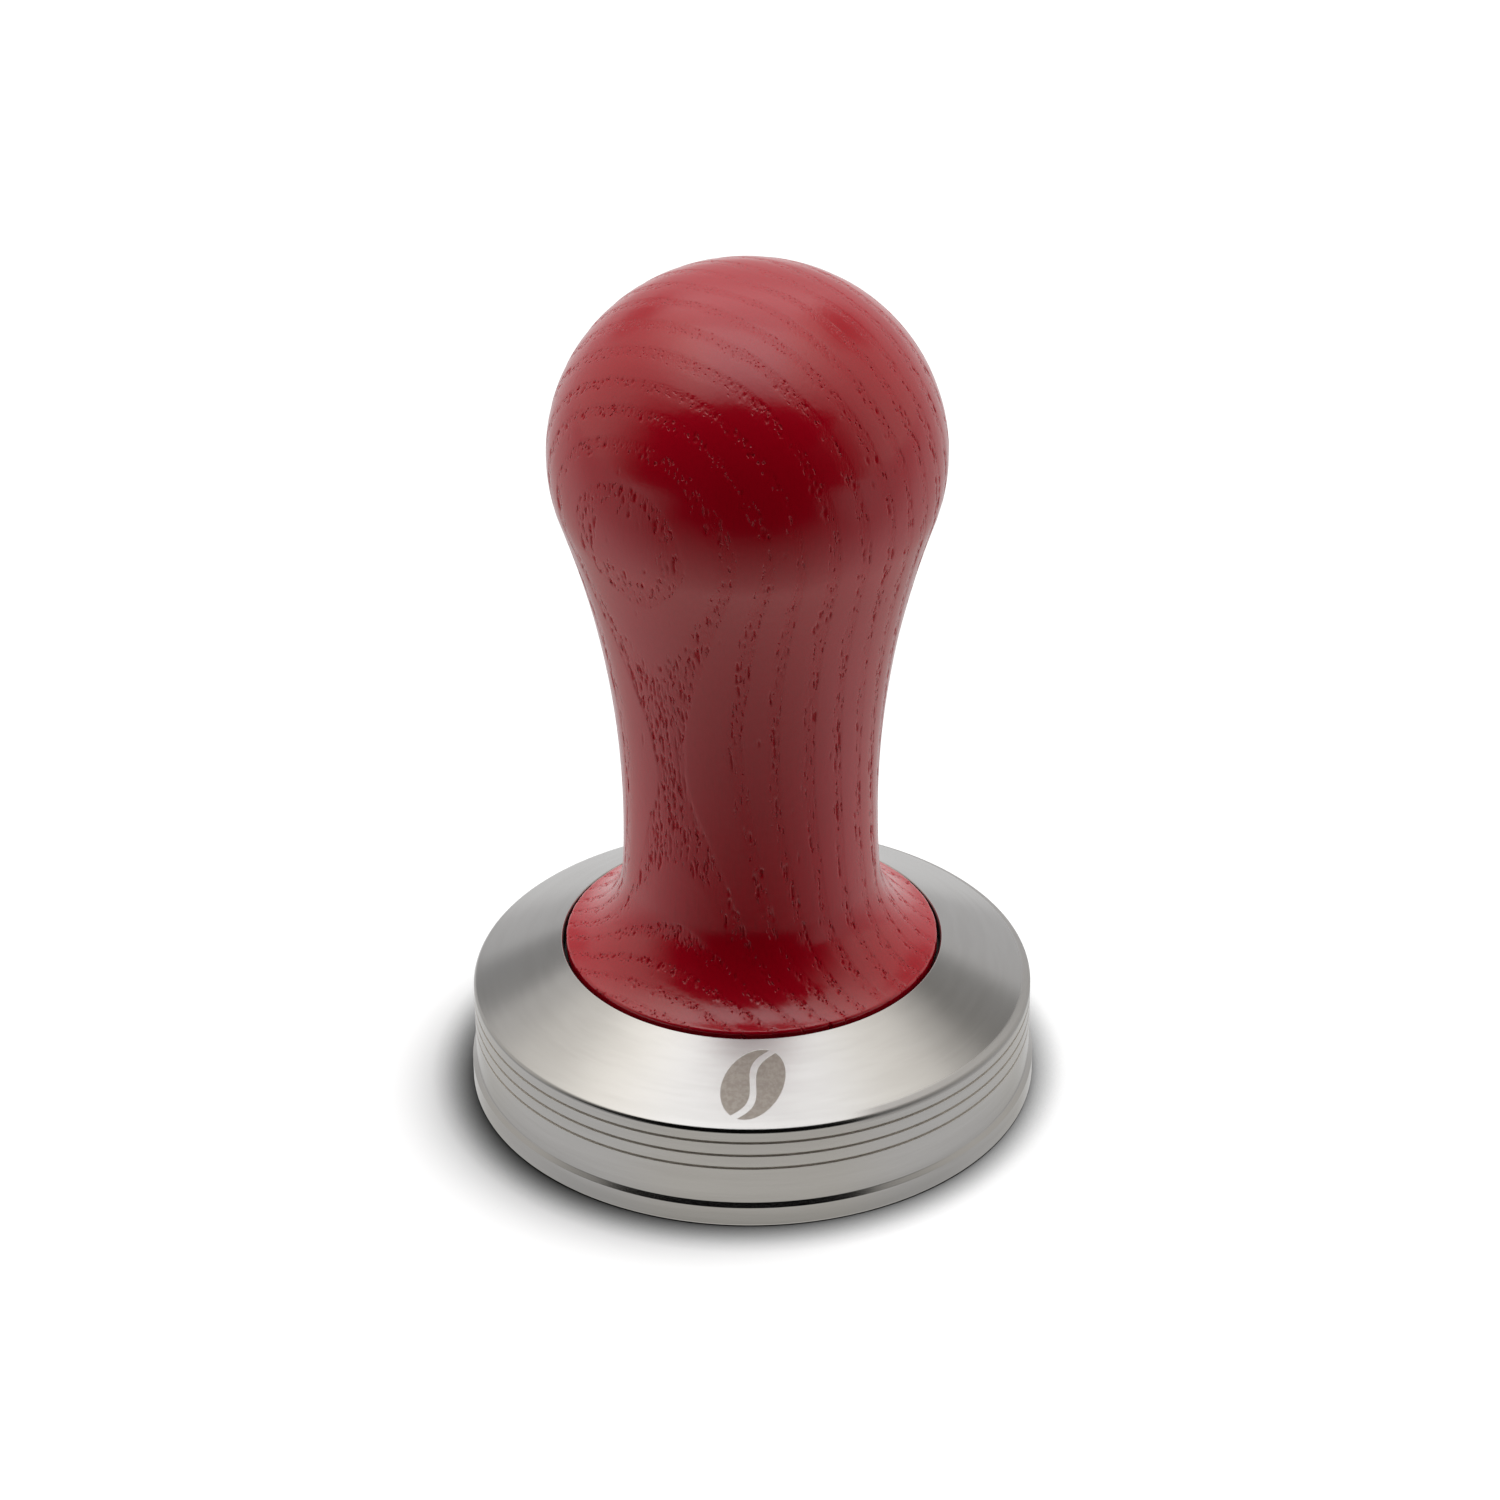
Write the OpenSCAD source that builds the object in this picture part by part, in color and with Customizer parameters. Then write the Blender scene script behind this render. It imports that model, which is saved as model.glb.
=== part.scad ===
// Espresso tamper: a turned wooden handle that screws onto a one-piece steel tamping base.
// Millimetres. +Z is up the turning axis, and the origin is the centre of the tamping face.

/* [Tamping base] */
// Diameter of the tamping foot, for a 58 mm filter basket
foot_d = 58; // [57:0.1:58.5]
// Height of the full-diameter land above the tamping face
foot_land_h = 2.2; // [1.5:0.1:3]
// Step from the foot land in to the side wall, cut at 45 degrees
side_step = 0.4; // [0.2:0.1:0.8]
// Height where the side wall meets the cone
side_top_z = 11.1; // [11:0.1:12]
// Radius that rounds the side wall into the cone
shoulder_r = 0.5; // [0.2:0.1:0.8]
// Height of the cone's upper edge
cone_top_z = 15.8; // [15:0.1:17]

/* [Side grooves] */
// Number of grooves turned into the side wall
groove_count = 3; // [1:1:3]
// Height of the lowest groove
groove_first_z = 6.7; // [5:0.1:6.8]
// Spacing from groove to groove
groove_pitch = 1.5; // [1:0.1:1.6]
// Width of a groove at the surface
groove_w = 0.3; // [0.2:0.05:0.5]
// Depth of a groove
groove_depth = 0.15; // [0.1:0.05:0.3]

/* [Recess for the handle] */
// Diameter of the recess that takes the handle's foot
recess_d = 38.6; // [38.4:0.1:40]
// Height of the recess floor above the tamping face
recess_floor_z = 14; // [13:0.1:14.2]
// Bevel round the mouth of the recess
recess_bevel = 0.15; // [0.1:0.05:0.3]

/* [Seat washer] */
// Thickness of the washer under the handle
washer_t = 0.5; // [0.3:0.1:0.8]
// Outer diameter of the washer
washer_d = 36; // [24:1:37]
// Hole through the washer, clear of the stud
washer_hole_d = 9; // [8.5:0.5:12]

/* [Handle] */
// Height of the crown above the tamping face
total_h = 89; // [85:0.5:95]
// Diameter of the knob at its widest
knob_d = 38.8; // [38:0.1:41]
// Radius of the knob's side, seen from the front
knob_arc_r = 18.4; // [17:0.1:18.9]
// Radius of the crown, seen from the front
crown_r = 26; // [22:1:32]
// Diameter of the neck at its narrowest
neck_d = 25.6; // [25:0.1:27]
// Radius of the neck's hollow curve
neck_arc_r = 103; // [95:1:110]
// Radius of the flare at the foot
flare_r = 9.5; // [8.5:0.1:10]
// Diameter of the rim round the handle's foot
rim_d = 37.9; // [37.4:0.1:38.2]
// Height of the rim's upper edge above the tamping face
rim_top_z = 16.15; // [15.9:0.05:16.6]
// Bevel under the rim
rim_bevel = 0.3; // [0.1:0.1:0.5]

/* [Screw joint] */
// Major diameter of the M8 thread
thread_d = 8; // [6:1:8]
// Radial running clearance between the stud and the insert
thread_clearance = 0.05; // [0.02:0.01:0.08]
// Length of the stud
stud_l = 25; // [20:1:26]
// Height of the stud's lower end above the tamping face
stud_bottom_z = 4; // [3.5:0.1:5]
// Across-flats size of the stud's hexagon socket
socket_af = 4; // [3:1:4]
// Depth of the hexagon socket
socket_depth = 5; // [3:1:6]
// Outer diameter of the brass insert
insert_d = 12; // [11:0.5:13]
// Length of the insert
insert_l = 16; // [15:1:18]
// Interference of each press fit, measured on the radius
press_interference = 0.02; // [0.01:0.01:0.03]

/* [Hidden] */

$fn = 96;

arc_steps = 24;
crown_steps = 6;
cut_margin = 1;

// Base
foot_r = foot_d / 2;
side_r = foot_r - side_step;
recess_r = recess_d / 2;
edge_break = 0.2;
cone_angle = atan2(cone_top_z - side_top_z, side_r - recess_r - recess_bevel);
shoulder_turn = 90 - cone_angle;
shoulder_c = [side_r - shoulder_r, side_top_z - shoulder_r * tan(shoulder_turn / 2)];

// Screw joint
thread_r = thread_d / 2;
thread_bevel = 0.6;
tapped_hole_bottom_z = stud_bottom_z - 0.3;
hole_bevel = 0.5;
insert_r = insert_d / 2;
insert_groove_w = 1.2;
insert_groove_depth = 0.4;
insert_groove_count = 2;
insert_bevel = 0.5;
insert_bore_depth = insert_l + 2;

// Handle. Each arc meets the next one without a corner, so its centre follows from the one above it.
foot_z = recess_floor_z + washer_t;
neck_r = neck_d / 2;
rim_corner = [rim_d / 2, rim_top_z];
crown_c = [0, total_h - crown_r];
knob_inset = knob_d / 2 - knob_arc_r;
knob_c = [knob_inset, crown_c.y + leg(crown_r - knob_arc_r, knob_inset)];
neck_x = neck_r + neck_arc_r;
neck_c = [neck_x, knob_c.y - leg(neck_arc_r + knob_arc_r, neck_x - knob_inset)];
flare_c = rim_corner + flare_r * heading(bearing(neck_c - rim_corner) + flare_lean());

// The other leg of a right-angled triangle
function leg(hypotenuse, side) = sqrt(hypotenuse * hypotenuse - side * side);

// Direction of a vector, from 0 to 360 degrees
function bearing(v) = (atan2(v.y, v.x) + 360) % 360;

// Unit vector at an angle
function heading(angle) = [cos(angle), sin(angle)];

// Points along an arc
function arc(centre, radius, from, to, steps = arc_steps) =
    [for (i = [0:steps]) centre + radius * heading(from + (to - from) * i / steps)];

// Angle at the rim's corner between the centres of the neck's curve and the flare, by the cosine rule
function flare_lean() =
    let (reach = norm(neck_c - rim_corner), apart = neck_arc_r - flare_r)
    acos((flare_r * flare_r + reach * reach - apart * apart) / (2 * flare_r * reach));

// A solid turned about the Z axis from its half outline
module turned(outline) {
    rotate_extrude()
        polygon(outline);
}

module base() {
    color("silver")
    difference() {
        turned(concat(
            [[0, 0], [foot_r - edge_break, 0], [foot_r, edge_break]],
            [[foot_r, foot_land_h], [side_r, foot_land_h + side_step]],
            arc(shoulder_c, shoulder_r, 0, shoulder_turn, crown_steps),
            [[recess_r + recess_bevel, cone_top_z], [recess_r, cone_top_z - recess_bevel]],
            [[recess_r, recess_floor_z], [0, recess_floor_z]]
        ));
        for (i = [0:groove_count - 1])
            side_groove(groove_first_z + i * groove_pitch);
        tapped_hole();
    }
}

// One V groove round the side wall
module side_groove(z) {
    turned([
        [side_r - groove_depth, z],
        [side_r + groove_depth, z - groove_w],
        [side_r + groove_depth, z + groove_w]
    ]);
}

// The blind hole for the stud, bevelled at its mouth
module tapped_hole() {
    translate([0, 0, tapped_hole_bottom_z])
        cylinder(r = thread_r - press_interference, h = recess_floor_z + cut_margin - tapped_hole_bottom_z);
    translate([0, 0, recess_floor_z - hole_bevel])
        cylinder(r1 = thread_r, r2 = thread_r + hole_bevel + cut_margin, h = hole_bevel + cut_margin);
}

module stud() {
    stud_top_z = stud_bottom_z + stud_l;
    color("darkgray")
    difference() {
        turned([
            [0, stud_bottom_z],
            [thread_r - thread_bevel, stud_bottom_z],
            [thread_r, stud_bottom_z + thread_bevel],
            [thread_r, stud_top_z - thread_bevel],
            [thread_r - thread_bevel, stud_top_z],
            [0, stud_top_z]
        ]);
        translate([0, 0, stud_top_z - socket_depth])
            cylinder(d = socket_af / cos(30), h = socket_depth + cut_margin, $fn = 6);
    }
}

module seat_washer() {
    color("black")
    difference() {
        translate([0, 0, recess_floor_z])
            cylinder(d = washer_d, h = washer_t);
        translate([0, 0, recess_floor_z - cut_margin])
            cylinder(d = washer_hole_d, h = washer_t + 2 * cut_margin);
    }
}

module threaded_insert() {
    outer_r = insert_r + press_interference;
    groove_gap = insert_l / (insert_groove_count + 1);
    color("goldenrod")
    difference() {
        turned([
            [0, foot_z],
            [outer_r, foot_z],
            [outer_r, foot_z + insert_l - insert_bevel],
            [outer_r - insert_bevel, foot_z + insert_l],
            [0, foot_z + insert_l]
        ]);
        translate([0, 0, foot_z - cut_margin])
            cylinder(r = thread_r + thread_clearance, h = insert_l + 2 * cut_margin);
        translate([0, 0, foot_z - cut_margin])
            cylinder(r1 = thread_r + hole_bevel + cut_margin, r2 = thread_r, h = hole_bevel + cut_margin);
        for (i = [1:insert_groove_count])
            insert_groove(outer_r, foot_z + i * groove_gap);
    }
}

// One ring cut round the insert, where the wood grips it
module insert_groove(outer_r, z) {
    turned([
        [outer_r - insert_groove_depth, z - insert_groove_w / 2],
        [outer_r + cut_margin, z - insert_groove_w / 2],
        [outer_r + cut_margin, z + insert_groove_w / 2],
        [outer_r - insert_groove_depth, z + insert_groove_w / 2]
    ]);
}

module handle() {
    flare_end = bearing(flare_c - neck_c);
    neck_end = bearing(knob_c - neck_c);
    crown_start = bearing(knob_c - crown_c);
    color("firebrick")
    difference() {
        turned(concat(
            [[0, foot_z], [rim_corner.x - rim_bevel, foot_z], [rim_corner.x, foot_z + rim_bevel]],
            arc(flare_c, flare_r, bearing(rim_corner - flare_c), flare_end),
            arc(neck_c, neck_arc_r, flare_end, neck_end),
            arc(knob_c, knob_arc_r, neck_end - 180, crown_start),
            arc(crown_c, crown_r, crown_start, 90, crown_steps)
        ));
        translate([0, 0, foot_z - cut_margin])
            cylinder(r = insert_r, h = insert_bore_depth + cut_margin);
    }
}

handle();
threaded_insert();
seat_washer();
stud();
base();
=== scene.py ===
"""Looks of the espresso tamper: five turned pieces, each built round its CAD node, on a pale studio floor."""
import math

import bpy
import numpy as np
from mathutils import Matrix, Vector


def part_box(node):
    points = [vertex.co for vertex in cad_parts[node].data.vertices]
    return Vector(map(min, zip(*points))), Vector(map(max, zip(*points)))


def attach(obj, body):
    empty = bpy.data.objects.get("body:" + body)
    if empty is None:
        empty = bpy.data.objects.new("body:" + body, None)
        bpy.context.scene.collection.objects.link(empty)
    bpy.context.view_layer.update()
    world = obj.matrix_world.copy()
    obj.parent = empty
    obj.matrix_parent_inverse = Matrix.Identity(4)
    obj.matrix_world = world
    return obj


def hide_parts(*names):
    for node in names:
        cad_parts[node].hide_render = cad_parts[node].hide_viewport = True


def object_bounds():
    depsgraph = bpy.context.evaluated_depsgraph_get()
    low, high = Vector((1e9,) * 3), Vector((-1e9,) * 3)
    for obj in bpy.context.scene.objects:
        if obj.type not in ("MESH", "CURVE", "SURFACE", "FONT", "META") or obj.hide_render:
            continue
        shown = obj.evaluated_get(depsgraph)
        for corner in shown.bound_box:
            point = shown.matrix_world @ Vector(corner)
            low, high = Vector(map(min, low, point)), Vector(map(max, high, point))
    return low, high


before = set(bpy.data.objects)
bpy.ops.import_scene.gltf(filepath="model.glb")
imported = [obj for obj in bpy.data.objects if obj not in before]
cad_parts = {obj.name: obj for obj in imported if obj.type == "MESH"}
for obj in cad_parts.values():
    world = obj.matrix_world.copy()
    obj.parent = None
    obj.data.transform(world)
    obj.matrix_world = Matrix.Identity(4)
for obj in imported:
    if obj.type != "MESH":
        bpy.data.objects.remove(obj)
cad_low, cad_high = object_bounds()

MM = 0.001
TAU = 2 * math.pi


# ---------------------------------------------------------------- sizes in millimetres


def node_box(node):
    """(largest radius, lowest z, highest z) of a CAD node, in millimetres."""
    low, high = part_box(node)
    return high.y / MM, low.z / MM, high.z / MM


# The outline sizes, from the CAD frame
KNOB_R, FOOT_Z, TOTAL_H = node_box("handle")
INSERT_R, INSERT_LOW, INSERT_HIGH = node_box("threaded_insert")
WASHER_R, WASHER_LOW, WASHER_HIGH = node_box("seat_washer")
STUD_R, STUD_LOW, STUD_HIGH = node_box("stud")
FOOT_R, BASE_LOW_Z, CONE_TOP_Z = node_box("base")
RECESS_FLOOR_Z = WASHER_LOW

# Handle
KNOB_ARC_R = 18.4
CROWN_R = 26.0
NECK_R = 12.8
NECK_ARC_R = 103.0
FLARE_R = 9.5
RIM_R = 18.95
RIM_TOP_Z = 16.15
RIM_ROUND = 0.22
RIM_BEVEL = 0.3
BORE_R = INSERT_R - 0.02
BORE_DEPTH = INSERT_HIGH - INSERT_LOW + 2.0
HANDLE_COLUMNS = 900
HANDLE_ROW_STEP = 0.17
FLARE_STEPS = 60
RIM_STEPS = 4
LONG_STEPS = 200
CROWN_STEPS = 20

# Base
FOOT_LAND_H = 2.2
SIDE_STEP = 0.4
SIDE_R = FOOT_R - SIDE_STEP
SIDE_TOP_Z = 11.1
SHOULDER_ROUND = 0.5
EDGE_ROUND = 0.12
EDGE_BREAK = 0.2
STEP_ROUND = 0.1
SMALL_ROUND = 0.05
GROOVES = (6.7, 8.2, 9.7)
GROOVE_W = 0.3
GROOVE_DEPTH = 0.15
GROOVE_ROUND = 0.03
RECESS_R = 19.3
RECESS_BEVEL = 0.15
RECESS_ROUND = 0.2
HOLE_BOTTOM_Z = STUD_LOW - 0.3
HOLE_BEVEL = 0.5
BASE_COLUMNS = 384
CONE_ANGLE = math.atan2(CONE_TOP_Z - SIDE_TOP_Z, SIDE_R - RECESS_R - RECESS_BEVEL)

# M8 x 1.25 screw joint
PITCH = 1.25
THREAD_DEPTH = 0.61 * PITCH
THREAD_RUN_GAP = 0.05
THREAD_ROW_STEP = PITCH / 14
CREST_SHARE = 0.12
FLANK_SHARE = 0.63
SOCKET_AF = 4.0
SOCKET_DEPTH = 5.0
SOCKET_BEVEL = 0.35
SOCKET_BEVEL_H = 0.2
SOCKET_ROWS = 6
DRILL_TIP = 0.6
STUD_COLUMNS = 96

# Brass insert
KNURL_TEETH = 48
KNURL_DEPTH = 0.12
BAND_GAP_HALF = 0.6
BAND_GAP_DEPTH = 0.4
INSERT_BEVEL = 0.5
BORE_TOP_BEVEL = 0.4
RING_COLUMNS = 192

# Washer
WASHER_HOLE_R = 4.5


# ---------------------------------------------------------------- outlines of (radius, height) points


def heading(angle):
    """Unit vector at an angle."""
    return np.array([math.cos(angle), math.sin(angle)])


def bearing(v):
    """Direction of a vector, from 0 to a full turn."""
    return math.atan2(v[1], v[0]) % TAU


def leg(hypotenuse, side):
    """The other leg of a right-angled triangle."""
    return math.sqrt(hypotenuse * hypotenuse - side * side)


def arc(centre, radius, start, end, steps):
    """Points along an arc, both ends included."""
    return [centre + radius * heading(start + (end - start) * i / steps) for i in range(steps + 1)]


def round_corners(points, radii, steps=6):
    """Replaces each corner that has a radius with an arc tangent to both of its sides."""
    out = []
    for i, (point, radius) in enumerate(zip(points, radii)):
        p = np.array(point, float)
        if radius == 0:
            out.append(p)
            continue
        before = np.array(points[i - 1], float) - p
        after = np.array(points[(i + 1) % len(points)], float) - p
        before /= np.linalg.norm(before)
        after /= np.linalg.norm(after)
        half = math.acos(max(-1.0, min(1.0, float(before @ after)))) / 2
        centre = p + (before + after) / np.linalg.norm(before + after) * radius / math.sin(half)
        start = p + before * radius / math.tan(half) - centre
        end = p + after * radius / math.tan(half) - centre
        a0 = math.atan2(start[1], start[0])
        turn = (math.atan2(end[1], end[0]) - a0 + math.pi) % TAU - math.pi
        out += arc(centre, radius, a0, a0 + turn, steps)
    return out


def hold_edges(points, hold=0.05, longest=2.0):
    """Splits long sides, with a row close to each end, so that shading stays flat between roundings."""
    out = []
    for a, b in zip(points[:-1], points[1:]):
        out.append(a)
        length = np.linalg.norm(b - a)
        if length > 4 * hold:
            inner = max(1, round((length - 2 * hold) / longest))
            for t in np.linspace(hold / length, 1 - hold / length, inner + 1):
                out.append(a + (b - a) * t)
    out.append(points[-1])
    return out


def resample(points, spacing):
    """Points at even steps along an outline."""
    points = np.array(points)
    run = np.concatenate([[0], np.cumsum(np.linalg.norm(np.diff(points, axis=0), axis=1))])
    at = np.linspace(0, run[-1], max(2, round(run[-1] / spacing)) + 1)
    return [np.array([np.interp(s, run, points[:, 0]), np.interp(s, run, points[:, 1])]) for s in at]


# ---------------------------------------------------------------- meshes


def make_mesh(name, points, quads, triangles):
    """A smooth-shaded mesh object from points in millimetres."""
    mesh = bpy.data.meshes.new(name)
    loops = np.concatenate([quads.ravel(), triangles.ravel()])
    starts = np.concatenate([np.arange(len(quads)) * 4, len(quads) * 4 + np.arange(len(triangles)) * 3])
    mesh.vertices.add(len(points))
    mesh.vertices.foreach_set("co", (points * MM).astype(np.float32).ravel())
    mesh.loops.add(len(loops))
    mesh.loops.foreach_set("vertex_index", loops.astype(np.int32))
    mesh.polygons.add(len(starts))
    mesh.polygons.foreach_set("loop_start", starts.astype(np.int32))
    mesh.update(calc_edges=True)
    mesh.validate()
    mesh.polygons.foreach_set("use_smooth", np.ones(len(mesh.polygons), bool))
    piece = bpy.data.objects.new(name, mesh)
    bpy.context.scene.collection.objects.link(piece)
    return piece


def lathe(name, outline, columns, reshape=None, closed=False):
    """Turns an outline about Z. An outline runs up its outer side, and a point at radius 0 closes an end.
    reshape(r, z, angle) may move the rows of points, which lie at those angles."""
    outline = np.array(outline, float)
    on_axis = outline[:, 0] < 1e-6
    rows = outline[~on_axis]
    angle = np.arange(columns) * TAU / columns
    r = np.repeat(rows[:, :1], columns, axis=1)
    z = np.repeat(rows[:, 1:], columns, axis=1)
    if reshape:
        r, z = reshape(r, z, angle)
    points = np.stack([r * np.cos(angle), r * np.sin(angle), z], axis=-1).reshape(-1, 3)
    here = np.arange(r.size).reshape(r.shape)
    if closed:
        here = np.concatenate([here, here[:1]])
    beside = np.roll(here, -1, axis=1)
    quads = np.stack([here[:-1], beside[:-1], beside[1:], here[1:]], axis=-1).reshape(-1, 4)
    triangles = np.zeros((0, 3), int)
    if on_axis[0]:
        tip = np.full(columns, len(points))
        points = np.concatenate([points, [[0, 0, outline[0, 1]]]])
        triangles = np.concatenate([triangles, np.stack([tip, beside[0], here[0]], axis=-1)])
    if on_axis[-1]:
        tip = np.full(columns, len(points))
        points = np.concatenate([points, [[0, 0, outline[-1, 1]]]])
        triangles = np.concatenate([triangles, np.stack([here[-1], beside[-1], tip], axis=-1)])
    return make_mesh(name, points, quads, triangles)


def set_attribute(piece, name, values):
    """Stores one number per vertex, which a material can read."""
    attribute = piece.data.attributes.new(name, "FLOAT", "POINT")
    attribute.data.foreach_set("value", values.astype(np.float32))


# ---------------------------------------------------------------- ash: growth rings and open pores


def random_at(*cells):
    """A repeatable random number from 0 to 1 for each whole-numbered cell."""
    h = np.zeros(np.broadcast(*cells).shape, np.uint64)
    for cell, prime in zip(cells, (73856093, 19349663, 83492791, 49979687)):
        h = h ^ ((cell.astype(np.int64) + 100000).astype(np.uint64) * np.uint64(prime))
    h = (h ^ (h >> np.uint64(15))) * np.uint64(2246822519) & np.uint64(0xFFFFFFFF)
    h = (h ^ (h >> np.uint64(13))) * np.uint64(3266489917) & np.uint64(0xFFFFFFFF)
    return (h ^ (h >> np.uint64(16))).astype(float) / 0xFFFFFFFF


def noise(x, y, z, seed=0):
    """Smooth noise from -1 to 1."""
    base = [np.floor(v) for v in (x, y, z)]
    fade = [(v - b) ** 2 * (3 - 2 * (v - b)) for v, b in zip((x, y, z), base)]
    total = 0
    for i in (0, 1):
        for j in (0, 1):
            for k in (0, 1):
                weight = 1
                for f, corner in zip(fade, (i, j, k)):
                    weight = weight * (f if corner else 1 - f)
                total = total + weight * random_at(base[0] + i, base[1] + j, base[2] + k, np.full(1, seed))
    return 2 * total - 1


def smoothstep(low, high, value):
    """0 below low, 1 above high, and a smooth change between them."""
    t = np.clip((value - low) / (high - low), 0, 1)
    return t * t * (3 - 2 * t)


# The rings. BARK is the outward direction of growth, and the grain leans that way by a share of the height.
# Each wave is its height, its lengths across and along the grain, and its seed.
PITH_AWAY = 200.0
BARK_AZIMUTH = math.radians(-36)
BARK = np.array([math.sin(BARK_AZIMUTH), -math.cos(BARK_AZIMUTH)])
GRAIN_LEAN = 0.12
LEAN_FROM_Z = 40.0
LAST_RING = 25.05
WIDE_FROM = 16.0
NARROW_RING = 2.0
WIDE_RING = 2.9
RING_WAVES = ((0.3, 19, 34, 1), (0.25, 5, 9, 2))
POROUS_SHARE = 0.46

# The open grain. The crown is the smoothest part, and the tips of the V shapes on the neck are the most open.
PORE_DEPTH = 0.09
TROUGH_DEPTH = 0.026
BIG_PORES = {"cell": 0.42, "radius": 0.14, "seed": 20}
STRAY_PORES = {"cell": 0.9, "radius": 0.10, "seed": 40}
STRAY_SHARE = 0.10
FINE_PORES = {"cell": 0.30, "radius": 0.11, "seed": 60}
PORE_SWAY = 0.2
PORE_WIGGLE = 0.07
CROWN_FROM_Z = 79.0
CROWN_FULL_Z = 86.0
CROWN_OPEN = 0.4
TIPS_LOW_Z = (18.0, 26.0)
TIPS_HIGH_Z = (52.0, 60.0)
TIPS_NARROW = (0.94, 0.985)


def ring_phase(x, y, z):
    """Where a point is in its growth ring: 0 at the first, porous wood of a year, 1 at the year's end."""
    away = np.hypot(x + PITH_AWAY * BARK[0], y + PITH_AWAY * BARK[1]) - PITH_AWAY
    away = away - GRAIN_LEAN * (z - LEAN_FROM_Z)
    for height, across, along, seed in RING_WAVES:
        away = away + height * noise(x / across, y / across, z / along, seed)
    inward = LAST_RING - away
    years = np.minimum(inward, WIDE_FROM) / NARROW_RING + np.maximum(inward - WIDE_FROM, 0) / WIDE_RING
    return -years % 1.0


def pores(x, y, z, wanted, cell, radius, seed):
    """Depth, from 0 to 1, of the vessels that a point lies in. They run up the grain as thin broken tubes,
    one to a cell, each open over random stretches that add up to about the wanted share."""
    gx = x - GRAIN_LEAN * BARK[0] * z + PORE_SWAY * noise(x / 5, y / 5, z / 4.5, seed + 11)
    gy = y - GRAIN_LEAN * BARK[1] * z + PORE_SWAY * noise(x / 5, y / 5, z / 4.5, seed + 12)
    gx = gx + PORE_WIGGLE * noise(x, y, z / 0.7, seed + 13)
    gy = gy + PORE_WIGGLE * noise(x, y, z / 0.7, seed + 14)
    column, row = np.floor(gx / cell), np.floor(gy / cell)
    deepest = np.zeros_like(x)
    for i in (-1, 0, 1):
        for j in (-1, 0, 1):
            c, d = column + i, row + j
            draws = [random_at(c, d, np.full(1, seed + number)) for number in range(5)]
            vx = (c + 0.5 + 0.7 * (draws[0] - 0.5)) * cell
            vy = (d + 0.5 + 0.7 * (draws[1] - 0.5)) * cell
            size = radius * (0.6 + 0.7 * draws[2])
            length = 1.0 + 2.2 * draws[3]
            along = z / length + 7 * draws[4]
            segment = np.floor(along)
            open_share = random_at(c, d, segment, np.full(1, seed + 5))
            ends = smoothstep(0, 0.3, along - segment) * smoothstep(0, 0.3, 1 - (along - segment))
            inside = np.clip(1 - ((gx - vx) ** 2 + (gy - vy) ** 2) / size ** 2, 0, 1)
            strength = smoothstep(1 - wanted, 1.02 - wanted * 0.4, open_share)
            deepest = np.maximum(deepest, np.sqrt(inside) * ends * strength)
    return deepest


def ash_relief(points):
    """(depth in millimetres, depth share, earlywood share) of the open grain at each point."""
    x, y, z = points[:, 0], points[:, 1], points[:, 2]
    phase = ring_phase(x, y, z)
    early = smoothstep(0, 0.04, phase) * (1 - smoothstep(POROUS_SHARE * 0.5, POROUS_SHARE * 1.15, phase))
    patch = 0.75 + 0.35 * noise(x / 8, y / 8, z / 13, 5)
    towards_bark = (x * BARK[0] + y * BARK[1]) / np.maximum(np.hypot(x, y), 1.0)
    on_neck = smoothstep(*TIPS_LOW_Z, z) * (1 - smoothstep(*TIPS_HIGH_Z, z))
    tips = smoothstep(*TIPS_NARROW, towards_bark) * on_neck
    big = pores(x, y, z, np.clip(0.8 * early * (patch + 0.3 * tips), 0.0, 1.0), **BIG_PORES)
    stray = pores(x, y, z, np.full(len(x), STRAY_SHARE), **STRAY_PORES)
    fine = pores(x, y, z, 0.9 * early * tips, **FINE_PORES)
    share = np.maximum(np.maximum(big, 0.6 * stray), 0.8 * fine)
    share = share * (1 - (1 - CROWN_OPEN) * smoothstep(CROWN_FROM_Z, CROWN_FULL_Z, z))
    return PORE_DEPTH * share + TROUGH_DEPTH * early * (1 + tips), share, early


# ---------------------------------------------------------------- node trees


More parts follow.
